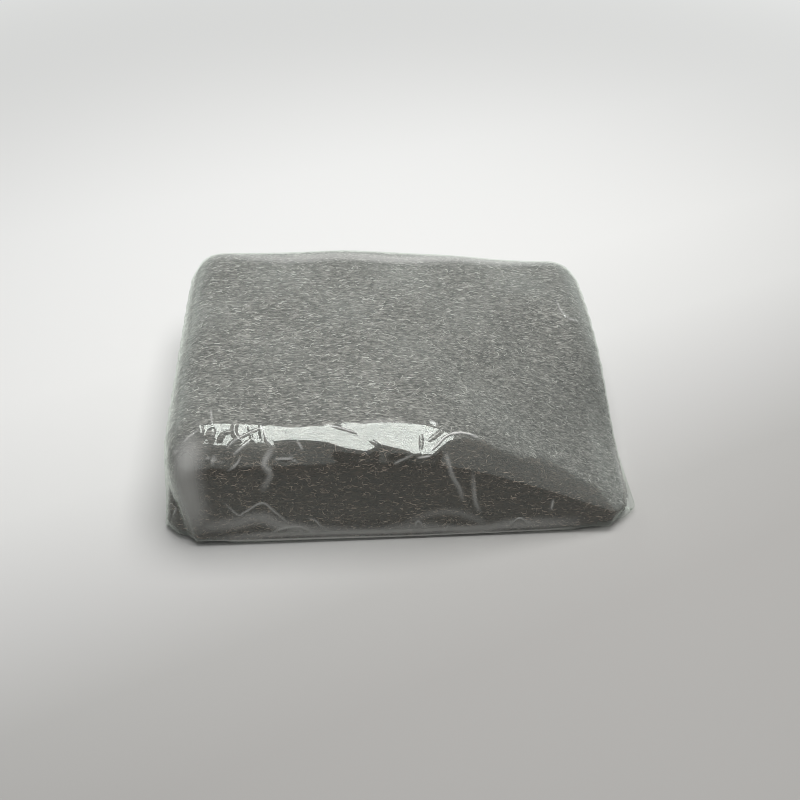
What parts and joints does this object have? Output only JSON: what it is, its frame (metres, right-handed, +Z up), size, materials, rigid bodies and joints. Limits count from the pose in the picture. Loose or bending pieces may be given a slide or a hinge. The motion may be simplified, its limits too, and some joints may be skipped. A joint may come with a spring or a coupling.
{
  "type": "steel wool hand pad in a clear film wrap",
  "caption": "Soft rectangular pad of fine steel wool fibres, for rubbing down and polishing by hand, in a thin clear film wrap.",
  "frame": {"origin": "on the surface that the pad lies on, under the middle of the wrap's box", "axes": "+X along the pad's longer side, towards its thinner end; +Y across it, away from the front; +Z up"},
  "size_m": [0.11, 0.0831, 0.0291],
  "materials": {
    "steel_wool": "satin",
    "clear_film": "gloss"
  },
  "bodies": {
    "root": {"wool_pad": "steel_wool", "film_wrap": "clear_film"}
  },
  "joints": []
}
